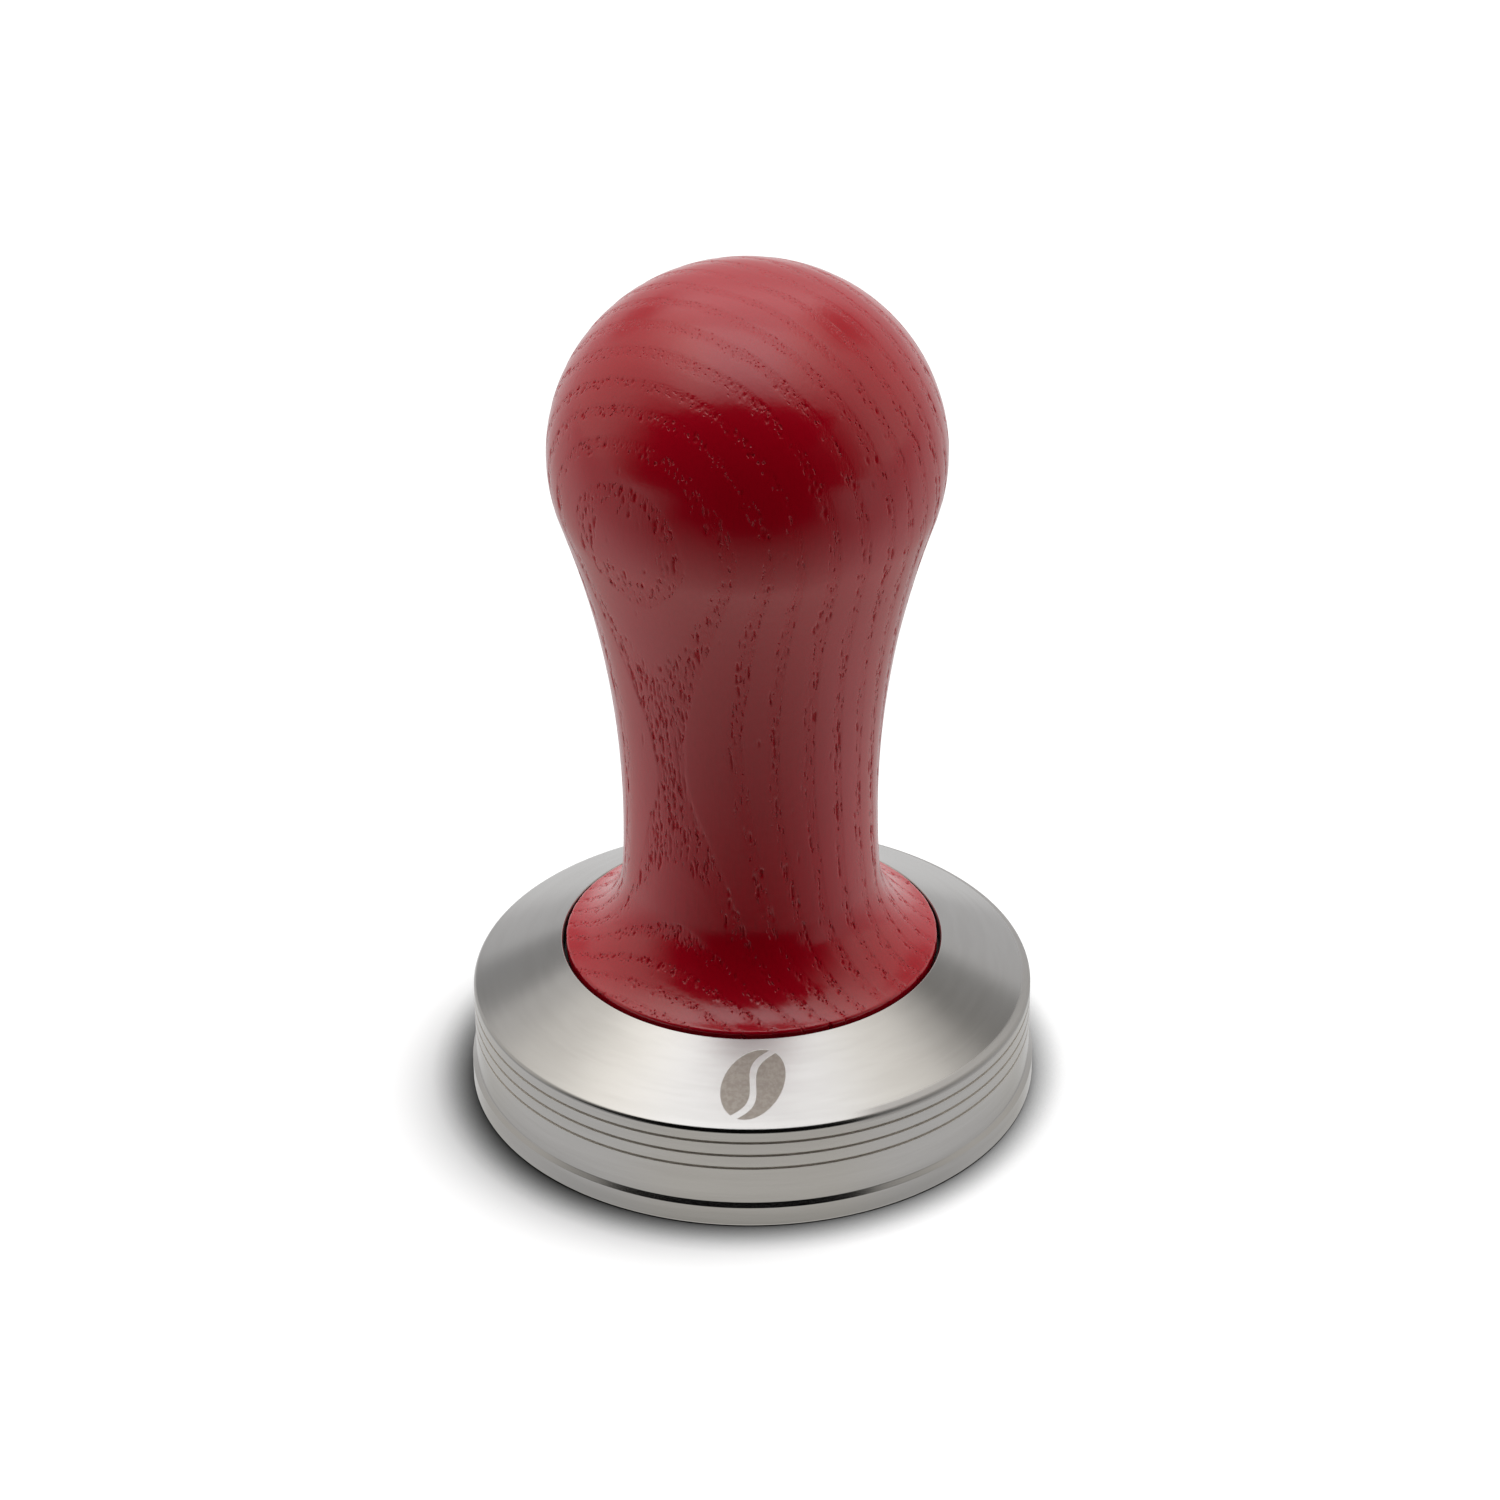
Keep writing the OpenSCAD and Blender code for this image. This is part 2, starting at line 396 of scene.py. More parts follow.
class Tree:
    """Short names for building a node tree."""

    def __init__(self, tree):
        self.tree = tree
        tree.nodes.clear()

    def add(self, kind, inputs=None, **settings):
        """A new node, with its inputs by socket name or number, each a value or another node's output."""
        node = self.tree.nodes.new(kind)
        for key, value in settings.items():
            setattr(node, key, value)
        for key, value in (inputs or {}).items():
            self.feed(node.inputs[key], value)
        return node

    def feed(self, socket, value):
        """Links a socket to another node's output, or sets its value."""
        if isinstance(value, bpy.types.NodeSocket):
            self.tree.links.new(value, socket)
        else:
            socket.default_value = value

    def math(self, operation, *values):
        """One step of arithmetic on outputs or plain numbers."""
        return self.add("ShaderNodeMath", dict(enumerate(values)), operation=operation).outputs[0]

    def times(self, value, *others):
        """The product of all the values."""
        for other in others:
            value = self.math("MULTIPLY", value, other)
        return value

    def plus(self, value, *others):
        """The sum of all the values."""
        for other in others:
            value = self.math("ADD", value, other)
        return value

    def minus(self, value, other):
        """The value less the other one."""
        return self.math("SUBTRACT", value, other)

    def size(self, value):
        """The value without its sign."""
        return self.math("ABSOLUTE", value)

    def ramp(self, value, low, high, out_low=0.0, out_high=1.0):
        """out_low below low, out_high above high, and a smooth change between them."""
        inputs = {"Value": value, "From Min": low, "From Max": high, "To Min": out_low, "To Max": out_high}
        return self.add("ShaderNodeMapRange", inputs, interpolation_type="SMOOTHSTEP").outputs[0]

    def mix(self, share, a, b):
        """The colour a where share is 0, and b where it is 1."""
        return self.add("ShaderNodeMix", {0: share, 6: a, 7: b}, data_type="RGBA").outputs[2]

    def vector(self, x, y, z):
        """Three numbers as one vector."""
        return self.add("ShaderNodeCombineXYZ", {"X": x, "Y": y, "Z": z}).outputs[0]

    def noise(self, vector, scale, detail=2.0, roughness=0.5):
        """Smooth noise from 0 to 1 over a vector in millimetres."""
        inputs = {"Vector": vector, "Scale": scale, "Detail": detail, "Roughness": roughness}
        return self.add("ShaderNodeTexNoise", inputs).outputs["Fac"]

    def bump(self, height, distance_mm, normal=None):
        """The normal of a surface raised by height times a distance, on top of another normal."""
        inputs = {"Height": height, "Distance": distance_mm * MM, "Strength": 1.0}
        if normal is not None:
            inputs["Normal"] = normal
        return self.add("ShaderNodeBump", inputs).outputs[0]

    def place(self):
        """The point in millimetres: x, y, z, radius from the axis, and the unit direction from the axis."""
        xyz = self.add("ShaderNodeSeparateXYZ", {"Vector": self.add("ShaderNodeTexCoord").outputs["Object"]})
        x, y, z = (self.times(socket, 1 / MM) for socket in xyz.outputs)
        radius = self.math("SQRT", self.plus(self.times(x, x), self.times(y, y)))
        safe = self.math("MAXIMUM", radius, 0.01)
        return x, y, z, radius, self.math("DIVIDE", x, safe), self.math("DIVIDE", y, safe)


def new_material(name):
    """A material and the node tree to draw it in."""
    material = bpy.data.materials.new(name)
    material.use_nodes = True
    return material, Tree(material.node_tree)


def finish_material(t, **inputs):
    """Ends a tree with a shader. An underscore in an input's name stands for a space."""
    named = {key.replace("_", " "): value for key, value in inputs.items()}
    shader = t.add("ShaderNodeBsdfPrincipled", named)
    t.add("ShaderNodeOutputMaterial", {"Surface": shader.outputs[0]})


# ---------------------------------------------------------------- materials

RED = (0.66, 0.0006, 0.016, 1)
# Deep red for the grain tone, and for the pores both as paint pooled in them and as painted shade
RED_DEEP_AND_PORE_SHADE = (0.48, 0.0003, 0.009, 1)
# A lighter red low on the handle: painted light, as if bounced up from the steel base
RED_BOUNCE_LIT = (0.76, 0.0008, 0.020, 1)
RED_WORN = (0.70, 0.002, 0.020, 1)
BOUNCE_LIT_FULL_Z = 18.0
BOUNCE_LIT_END_Z = 46.0
NICK_SCALE = 2.7
NICK_STRETCH = 0.17
PAINT_ROUGH = (0.14, 0.18)
PAINT_GLOSS = 0.9


def painted_ash():
    """Satin red paint that has sunk into the open grain, with painted shade deepening the pores and painted
    light brightening the lower part.
    """
    material, t = new_material("painted_ash")
    x, y, z, _, dx, dy = t.place()
    here = t.vector(x, y, z)
    pore = t.add("ShaderNodeAttribute", attribute_name="pore").outputs["Fac"]
    early = t.add("ShaderNodeAttribute", attribute_name="earlywood").outputs["Fac"]
    fibres = t.noise(t.vector(x, y, t.times(z, 0.09)), 4.5, 4.0, 0.6)
    clouds = t.noise(here, 0.08, 2.0)
    skin = t.noise(here, 1.3, 2.0)
    lathe_lines = t.noise(t.vector(t.times(dx, 0.6), t.times(dy, 0.6), z), 4.0, 2.0)

    # Short fine cuts that follow the leaning grain, most of them in the porous wood
    wander = t.times(t.noise(here, 0.9, 3.0), 0.9)
    nick_x = t.plus(x, t.times(z, -GRAIN_LEAN * BARK[0]), wander)
    nick_y = t.minus(t.plus(y, t.times(z, -GRAIN_LEAN * BARK[1])), wander)
    nick_at = t.vector(nick_x, nick_y, t.times(z, NICK_STRETCH))
    cells = t.add("ShaderNodeTexVoronoi", {"Vector": nick_at, "Scale": NICK_SCALE})
    share = t.add("ShaderNodeSeparateColor", {0: cells.outputs["Color"]}).outputs[0]
    wanted = t.plus(t.times(early, 0.95), 0.015)
    chosen = t.ramp(t.minus(wanted, share), 0.0, 0.25)
    nick = t.times(t.ramp(cells.outputs["Distance"], 0.10, 0.36, 1.0, 0.0), chosen)
    nick = t.times(nick, t.ramp(z, CROWN_FROM_Z, CROWN_FULL_Z, 1.0, CROWN_OPEN))
    cut = t.math("MAXIMUM", nick, pore)

    tone = t.mix(t.ramp(clouds, 0.3, 0.7), RED, RED_WORN)
    # Painted light: the red is lighter low down and fades out up the neck, as if lit from the steel below
    tone = t.mix(t.ramp(z, BOUNCE_LIT_FULL_Z, BOUNCE_LIT_END_Z, 1.0, 0.0), tone, RED_BOUNCE_LIT)
    tone = t.mix(t.times(t.ramp(fibres, 0.4, 0.75), 0.25), tone, RED_DEEP_AND_PORE_SHADE)
    # The pores are darker red: partly paint pooled in them, partly painted shade in the hollows
    colour = t.mix(t.times(cut, 0.62), tone, RED_DEEP_AND_PORE_SHADE)
    rough = t.plus(t.ramp(fibres, 0.3, 0.7, *PAINT_ROUGH), t.times(cut, 0.2))
    matt = t.math("MAXIMUM", t.ramp(cut, 0.1, 0.7, 0.0, 0.8), t.times(early, 0.12))
    gloss = t.times(t.minus(1.0, matt), PAINT_GLOSS)
    normal = t.bump(t.times(fibres, t.plus(t.times(early, 0.8), 0.2)), 0.03)
    normal = t.bump(skin, 0.010, normal)
    normal = t.bump(lathe_lines, 0.002, normal)
    normal = t.bump(t.minus(1.0, nick), 0.08, normal)
    finish_material(t, Base_Color=colour, Roughness=rough, Specular_IOR_Level=gloss, Normal=normal)
    return material


STEEL = (0.560, 0.549, 0.540, 1)
STEEL_DARK = (0.500, 0.487, 0.475, 1)
# A painted shade colour for the recess
STEEL_RECESS_SHADE = (0.10, 0.095, 0.09, 1)
# A painted lighter tone for the grooves, lifting the shade that falls in them
STEEL_GROOVE_LIT = (0.74, 0.70, 0.65, 1)
ETCH = (0.36, 0.325, 0.29, 1)
ETCH_PALE = (0.43, 0.395, 0.355, 1)
MARK_R = 24.0
BEAN_LONG = 4.1
BEAN_WIDE = 2.9
BEAN_TILT = math.radians(28)
BEAN_WAVE = 0.75
BEAN_PARTING = (0.33, 0.39)
STEEL_ROUGH = (0.06, 0.08)
LINES_ROUGH = 0.05
BRUSHED_ROUGH = 0.09
GROOVE_ROUGH = 0.6
RECESS_ROUGH = 0.3
WORN_ROUGH = 0.3
POLISHED_ROUGH = 0.1
MARK_ROUGH = 0.22
BRUSHED_STRETCH = 0.65
MARK_STRETCH = 0.15


def bean_mask(t, x, y, radius):
    """1 inside a small generic coffee bean on the front of the cone, with an S-shaped parting line."""
    slope = t.math("DIVIDE", t.minus(radius, MARK_R), math.cos(CONE_ANGLE))
    c, s = math.cos(BEAN_TILT), math.sin(BEAN_TILT)
    u = t.plus(t.times(x, c), t.times(slope, s))
    v = t.minus(t.times(slope, c), t.times(x, s))
    across = t.math("DIVIDE", u, BEAN_WIDE)
    along = t.math("DIVIDE", v, BEAN_LONG)
    body = t.ramp(t.plus(t.times(across, across), t.times(along, along)), 0.97, 1.03, 1.0, 0.0)
    wave = t.times(t.math("SINE", t.times(v, math.pi / BEAN_LONG)), BEAN_WAVE)
    parting = t.ramp(t.size(t.minus(u, wave)), *BEAN_PARTING)
    front = t.ramp(y, -1.0, 0.0, 1.0, 0.0)
    return t.times(body, parting, front)


def turned_steel():
    """Stainless steel with the fine circular lines of its turning, and the etched bean."""
    material, t = new_material("turned_steel")
    x, y, z, radius, dx, dy = t.place()
    here = t.vector(x, y, z)
    across = t.plus(radius, z)
    lines = t.noise(t.vector(across, t.times(dx, 0.35), t.times(dy, 0.35)), 7.0, 3.0, 0.65)
    streaks = t.noise(t.vector(across, t.times(dx, 1.5), t.times(dy, 1.5)), 1.6, 3.0, 0.6)
    clouds = t.noise(here, 0.12, 2.0)
    mottle = t.noise(here, 2.2, 3.0, 0.7)

    # Where the finish changes: the etched mark, the polished edges, the recess and the grooves, with painted
    # shade in the recess
    above = t.ramp(z, SIDE_TOP_Z - 1.0, SIDE_TOP_Z - 0.5)
    outside = t.ramp(radius, SIDE_R - 1.0, SIDE_R - 0.6)
    mark = t.times(bean_mask(t, x, y, radius), above)
    from_shoulder = t.size(t.minus(z, SIDE_TOP_Z))
    from_step = t.size(t.minus(z, FOOT_LAND_H + SIDE_STEP / 2))
    shoulder = t.ramp(from_shoulder, SHOULDER_ROUND * 0.7, SHOULDER_ROUND * 1.2, 1.0, 0.0)
    step = t.ramp(from_step, SIDE_STEP * 0.75, SIDE_STEP, 1.0, 0.0)
    polish = t.times(t.math("MAXIMUM", shoulder, step), outside)
    worn = t.times(shoulder, outside, t.ramp(dx, 0.30, 0.46))
    brushed = t.minus(1.0, polish)
    # Painted shade in the recess: its colour is darkened, most at the wall and less towards the middle
    inner = t.ramp(radius, RECESS_R + 0.02, RECESS_R + 0.08, 1.0, 0.0)
    recess = t.times(inner, above, t.ramp(radius, RECESS_R - 2.5, RECESS_R - 0.8, 0.4, 1.0))

    tone = t.mix(t.times(t.ramp(streaks, 0.35, 0.7), 0.4), STEEL, STEEL_DARK)
    colour = t.mix(mark, tone, t.mix(t.ramp(mottle, 0.35, 0.65), ETCH, ETCH_PALE))
    colour = t.mix(recess, colour, STEEL_RECESS_SHADE)
    rough = t.plus(t.ramp(clouds, 0.3, 0.7, *STEEL_ROUGH), t.times(lines, LINES_ROUGH))
    rough = t.plus(rough, t.times(brushed, BRUSHED_ROUGH))
    # Each groove is rougher, and its colour is a painted lighter tone that lifts the shade in it
    for groove_z in GROOVES:
        from_groove = t.size(t.minus(z, groove_z))
        inside = t.times(t.ramp(from_groove, GROOVE_W * 0.4, GROOVE_W * 0.6, 1.0, 0.0), outside)
        rough = t.plus(rough, t.times(inside, GROOVE_ROUGH))
        colour = t.mix(inside, colour, STEEL_GROOVE_LIT)
    finishes = ((recess, RECESS_ROUGH), (worn, WORN_ROUGH), (polish, POLISHED_ROUGH), (mark, MARK_ROUGH))
    for where, added in finishes:
        rough = t.plus(rough, t.times(where, added))
    stretch = t.minus(BRUSHED_STRETCH, t.times(mark, BRUSHED_STRETCH - MARK_STRETCH))
    finish_material(
        t,
        Base_Color=colour,
        Metallic=1.0,
        Roughness=rough,
        Anisotropic=t.times(stretch, brushed),
        Anisotropic_Rotation=0.25,
        Tangent=t.add("ShaderNodeTangent", direction_type="RADIAL", axis="Z").outputs[0],
        Normal=t.bump(t.minus(t.times(lines, brushed, 0.25), mark), 0.004),
    )
    return material


def machined(name, light, dark, rough):
    """Plain machined metal with turning lines and a slightly uneven tone."""
    material, t = new_material(name)
    x, y, z, radius, dx, dy = t.place()
    lines_at = t.vector(t.plus(radius, z), t.times(dx, 0.3), t.times(dy, 0.3))
    lines = t.noise(lines_at, 9.0, 2.0)
    clouds = t.noise(t.vector(x, y, z), 0.5, 3.0)
    colour = t.mix(t.ramp(clouds, 0.3, 0.7), light, dark)
    roughness = t.ramp(lines, 0.3, 0.7, rough, rough + 0.12)
    finish_material(t, Base_Color=colour, Metallic=1.0, Roughness=roughness, Normal=t.bump(lines, 0.004))
    return material


RUBBER = (0.012, 0.012, 0.012, 1)
RUBBER_DUSTY = (0.03, 0.029, 0.028, 1)


def black_rubber():
    """Matt rubber with a fine moulded grain."""
    material, t = new_material("black_rubber")
    here = t.vector(*t.place()[:3])
    grain = t.noise(here, 3.0, 4.0, 0.7)
    dust = t.noise(here, 0.3, 2.0)
    colour = t.mix(t.ramp(dust, 0.4, 0.8), RUBBER, RUBBER_DUSTY)
    rough = t.ramp(grain, 0.3, 0.7, 0.5, 0.7)
    finish_material(t, Base_Color=colour, Roughness=rough, Normal=t.bump(grain, 0.02))
    return material


# ---------------------------------------------------------------- pieces


def handle_outline():
    """(outer rows, inner rows) of the handle: each arc meets the next one without a corner."""
    crown_c = np.array([0.0, TOTAL_H - CROWN_R])
    knob_inset = KNOB_R - KNOB_ARC_R
    knob_c = np.array([knob_inset, crown_c[1] + leg(CROWN_R - KNOB_ARC_R, knob_inset)])
    neck_x = NECK_R + NECK_ARC_R
    neck_c = np.array([neck_x, knob_c[1] - leg(NECK_ARC_R + KNOB_ARC_R, neck_x - knob_inset)])
    corner = np.array([RIM_R, RIM_TOP_Z])
    reach, apart = np.linalg.norm(neck_c - corner), NECK_ARC_R - FLARE_R
    lean = math.acos((FLARE_R ** 2 + reach ** 2 - apart ** 2) / (2 * FLARE_R * reach))
    flare_c = corner + FLARE_R * heading(bearing(neck_c - corner) + lean)
    flare_end, neck_end = bearing(flare_c - neck_c), bearing(knob_c - neck_c)
    crown_start = bearing(knob_c - crown_c)
    flare = arc(flare_c, FLARE_R, bearing(corner - flare_c), flare_end, FLARE_STEPS)
    rim_low_r = RIM_R - RIM_BEVEL
    rim = [[rim_low_r, FOOT_Z], [RIM_R, FOOT_Z + RIM_BEVEL], [RIM_R, RIM_TOP_Z], flare[RIM_STEPS]]
    rim = round_corners(rim, [0, 0, RIM_ROUND, 0])
    neck = arc(neck_c, NECK_ARC_R, flare_end, neck_end, LONG_STEPS)
    knob = arc(knob_c, KNOB_ARC_R, neck_end - math.pi, crown_start, LONG_STEPS)
    crown = arc(crown_c, CROWN_R, crown_start, math.pi / 2, CROWN_STEPS)
    bore_top = FOOT_Z + BORE_DEPTH
    inner = [[0, bore_top], [BORE_R, bore_top], [BORE_R, FOOT_Z], [rim_low_r, FOOT_Z]]
    inner = hold_edges([np.array(p, float) for p in inner])
    return rim[1:] + flare[RIM_STEPS + 1:] + neck[1:] + knob[1:] + crown[1:], inner


def build_handle():
    """The handle, with the open grain cut into its skin. The foot and the bore stay smooth."""
    outer, inner = handle_outline()
    outline = np.array(inner + resample(outer, HANDLE_ROW_STEP))
    outline[-1, 0] = 0.0
    stored = {}

    def carve(r, z, angle):
        points = np.stack([r * np.cos(angle), r * np.sin(angle), z], axis=-1).reshape(-1, 3)
        skin = ((np.arange(len(r)) > len(inner)) * 1.0)[:, None]
        depth, pore, early = (values.reshape(r.shape) * skin for values in ash_relief(points))
        stored["pore"] = pore.ravel()
        stored["earlywood"] = early.ravel()
        along_r, along_z = np.gradient(r[:, 0]), np.gradient(z[:, 0])
        size = np.maximum(np.hypot(along_r, along_z), 1e-9)
        return r - depth * (along_z / size)[:, None], z + depth * (along_r / size)[:, None]

    piece = lathe("handle_skin", outline, HANDLE_COLUMNS, carve)
    for name, values in stored.items():
        padded = np.zeros(len(piece.data.vertices))
        padded[: len(values)] = values
        set_attribute(piece, name, padded)
    return piece


def build_base():
    """The base: foot land, stepped side with its grooves, cone, recess and the stud's hole."""
    half = GROOVE_W / 2
    # Each corner is its radius from the axis, its height and its rounding
    corners = [
        (0, BASE_LOW_Z, 0),
        (FOOT_R - EDGE_BREAK, BASE_LOW_Z, EDGE_ROUND),
        (FOOT_R, BASE_LOW_Z + EDGE_BREAK, EDGE_ROUND),
        (FOOT_R, FOOT_LAND_H, SMALL_ROUND),
        (SIDE_R, FOOT_LAND_H + SIDE_STEP, STEP_ROUND),
    ]
    for z in GROOVES:
        corners.append((SIDE_R, z - half, GROOVE_ROUND))
        corners.append((SIDE_R - GROOVE_DEPTH, z, SMALL_ROUND))
        corners.append((SIDE_R, z + half, GROOVE_ROUND))
    corners += [
        (SIDE_R, SIDE_TOP_Z, SHOULDER_ROUND),
        (RECESS_R + RECESS_BEVEL, CONE_TOP_Z, SMALL_ROUND),
        (RECESS_R, CONE_TOP_Z - RECESS_BEVEL, SMALL_ROUND),
        (RECESS_R, RECESS_FLOOR_Z, RECESS_ROUND),
        (STUD_R + HOLE_BEVEL, RECESS_FLOOR_Z, SMALL_ROUND),
        (STUD_R, RECESS_FLOOR_Z - HOLE_BEVEL, SMALL_ROUND),
        (STUD_R, HOLE_BOTTOM_Z, 0),
        (0, HOLE_BOTTOM_Z, 0),
    ]
    points = [corner[:2] for corner in corners]
    radii = [corner[2] for corner in corners]
    return lathe("base_turning", hold_edges(round_corners(points, radii)), BASE_COLUMNS)


def thread_share(angle, z):
    """0 at a thread's crest and 1 at its root, for flat crests and 60 degree flanks."""
    turn = (z / PITCH - angle / TAU) % 1.0
    from_crest = np.abs(turn - 0.5) * 2
    return 1 - np.clip((from_crest - CREST_SHARE) / FLANK_SHARE, 0, 1)


def build_stud():
    """A headless M8 screw: a real helical thread, bevelled ends and a hexagon socket."""
    low, high = STUD_LOW, STUD_HIGH
    core = STUD_R - THREAD_DEPTH - THREAD_RUN_GAP
    walls = [[STUD_R, z] for z in np.arange(low, high + 1e-6, THREAD_ROW_STEP)]
    socket_r = SOCKET_AF / 2
    floor = high - SOCKET_DEPTH
    top = [[core, high], [socket_r + SOCKET_BEVEL, high], [socket_r, high - SOCKET_BEVEL_H]]
    socket = [[socket_r, z] for z in np.linspace(high - 2 * SOCKET_BEVEL_H, floor, SOCKET_ROWS)]
    tip = [[socket_r * 0.6, floor - DRILL_TIP / 2], [0, floor - DRILL_TIP]]
    outline = [[0, low], [core, low]] + walls + top + socket + tip
    first, last = 1, 1 + len(walls)
    socket_rows = slice(last + len(top) - 1, last + len(top) + len(socket))

    def shape(r, z, angle):
        wall_z = z[first:last]
        threaded = STUD_R - THREAD_DEPTH * thread_share(angle[None, :], wall_z)
        bevel = np.minimum(wall_z - low, high - wall_z) + core
        r[first:last] = np.minimum(threaded, bevel)
        facet = (angle + TAU / 12) % (TAU / 6) - TAU / 12
        r[socket_rows] = r[socket_rows] / np.cos(facet)[None, :]
        return r, z

    return lathe("stud_screw", outline, STUD_COLUMNS, shape)


def build_insert():
    """The brass insert: a straight knurl outside in three bands, and the M8 thread inside."""
    low, high = INSERT_LOW, INSERT_HIGH
    waist_r = INSERT_R - BAND_GAP_DEPTH
    outer = [[INSERT_R, low]]
    for share in (1 / 3, 2 / 3):
        z = low + share * (high - low)
        under, over = z - BAND_GAP_HALF, z + BAND_GAP_HALF
        outer += [[INSERT_R, under], [waist_r, under], [waist_r, over], [INSERT_R, over]]
    outer += [[INSERT_R, high - INSERT_BEVEL], [INSERT_R - INSERT_BEVEL, high]]
    outer = hold_edges([np.array(p, float) for p in outer])
    bore_r = STUD_R + THREAD_RUN_GAP
    walls = [[bore_r, z] for z in np.arange(high, low - 1e-6, -THREAD_ROW_STEP)]
    inner = [[bore_r + BORE_TOP_BEVEL, high]] + walls + [[bore_r + INSERT_BEVEL, low]]
    first, last = len(outer) + 1, len(outer) + 1 + len(walls)

    def shape(r, z, angle):
        outside = r[: len(outer)]
        knurl = KNURL_DEPTH * (0.5 + 0.5 * np.cos(KNURL_TEETH * angle))[None, :]
        r[: len(outer)] = np.where(outside > INSERT_R - BAND_GAP_DEPTH / 4, outside - knurl, outside)
        wall_z = z[first:last]
        threaded = bore_r - THREAD_DEPTH * thread_share(angle[None, :], wall_z)
        mouth = bore_r + INSERT_BEVEL - np.minimum(wall_z - low, high - wall_z)
        r[first:last] = np.maximum(threaded, mouth)
        return r, z

    outline = outer + [np.array(p) for p in inner]
    return lathe("insert_sleeve", outline, RING_COLUMNS, shape, closed=True)


def build_washer():
    """A flat washer with rounded edges."""
    low, high = WASHER_LOW, WASHER_HIGH
    points = [[WASHER_R, low], [WASHER_R, high], [WASHER_HOLE_R, high], [WASHER_HOLE_R, low]]
    edge_round = (high - low) * 0.3
    outline = round_corners(points, [edge_round] * 4, 4)
    outline = hold_edges(outline + [outline[0]])[:-1]
    return lathe("washer_ring", outline, RING_COLUMNS, closed=True)


def place(piece, material, node, body):
    """Gives a piece its material, hides the CAD node it stands for, and attaches the piece to its body."""
    piece.data.materials.append(material)
    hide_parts(node)
    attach(piece, body)


STUD_LIGHT, STUD_SHADE = (0.50, 0.49, 0.475, 1), (0.40, 0.39, 0.375, 1)
BRASS_LIGHT, BRASS_SHADE = (0.83, 0.62, 0.30, 1), (0.70, 0.50, 0.22, 1)
STUD_ROUGH = 0.28
BRASS_ROUGH = 0.25

place(build_handle(), painted_ash(), "handle", "grip")
brass = machined("brass", BRASS_LIGHT, BRASS_SHADE, BRASS_ROUGH)
place(build_insert(), brass, "threaded_insert", "grip")
place(build_washer(), black_rubber(), "seat_washer", "washer")
stud_steel = machined("stud_steel", STUD_LIGHT, STUD_SHADE, STUD_ROUGH)
place(build_stud(), stud_steel, "stud", "tamping_base")
place(build_base(), turned_steel(), "base", "tamping_base")


# ---------------------------------------------------------------- floor, light and camera

WHITE = (1, 1, 1, 1)
FLOOR_SEEN = 0.2
FLOOR_LIGHT = 5.0
FLOOR_HALF = 3.0
FLOOR_TINT = (1.0, 0.975, 0.915, 1)
# Reach and strength of the painted contact shadow on the table
CONTACT_REACH = 0.0045
CONTACT_POWER = 2.2
FAR_GLOW = 0.56
SIDE_GLOW = 0.38
NEAR_GLOW = 0.66
NEAR_REACH = (45.0, 60.0)
SHADED_REACH = (29.0, 34.0)
TABLE_LIGHT_FROM = Vector((0.34, 0.20, 0.92)).normalized()
TABLE_LIGHT_SPREAD = math.radians(54)


def flat_card(name, left, right, front, back, z):
    """A flat rectangle, with its sides in millimetres from the axis of the tamper."""
    corners = np.array([[left, front, z], [right, front, z], [right, back, z], [left, back, z]])
    card = make_mesh(name, corners, np.array([[0, 1, 2, 3]]), np.zeros((0, 3), int))
    card.location.z = cad_low.z
    return card


def floor_glow(t, rays):
    """How bright the table looks in a reflection: dimmer towards the front, away from the tamper, and
    shaded close to the foot. (x, y, z) is the direction from the table back along the reflected ray."""
    incoming = t.add("ShaderNodeNewGeometry").outputs["Incoming"]
    x, y, z = t.add("ShaderNodeSeparateXYZ", {"Vector": incoming}).outputs
    sideways = t.size(x)
    far = t.math("MINIMUM", t.plus(t.times(y, -0.42), t.times(z, 0.5), 0.23), FAR_GLOW)
    far = t.math("MAXIMUM", far, t.ramp(sideways, 0.55, 0.95, 0.0, SIDE_GLOW))
    far = t.plus(far, t.ramp(z, 0.85, 1.0, 0.0, 0.2), t.ramp(y, -0.98, -0.6, 0.22, 0.0))
    radius = t.place()[3]
    near = t.times(t.ramp(radius, *NEAR_REACH, NEAR_GLOW, 0.0), t.ramp(radius, *SHADED_REACH, 0.7, 1.0))
    near = t.times(near, t.ramp(z, 0.6, 0.93, 1.0, 0.76))
    # The table glows here as painted light for reflected and bounced rays, and bounced rays see it brighter
    # as painted fill
    filled = t.plus(1.0, t.times(rays["Is Diffuse Ray"], 0.7))
    warmth = t.times(t.ramp(y, -0.9, -0.5), t.ramp(sideways, 0.4, 0.85, 1.0, 0.2))
    tint = t.mix(warmth, WHITE, FLOOR_TINT)
    strength = t.times(t.math("MAXIMUM", far, near), filled)
    return t.add("ShaderNodeEmission", {"Color": tint, "Strength": strength}).outputs[0]


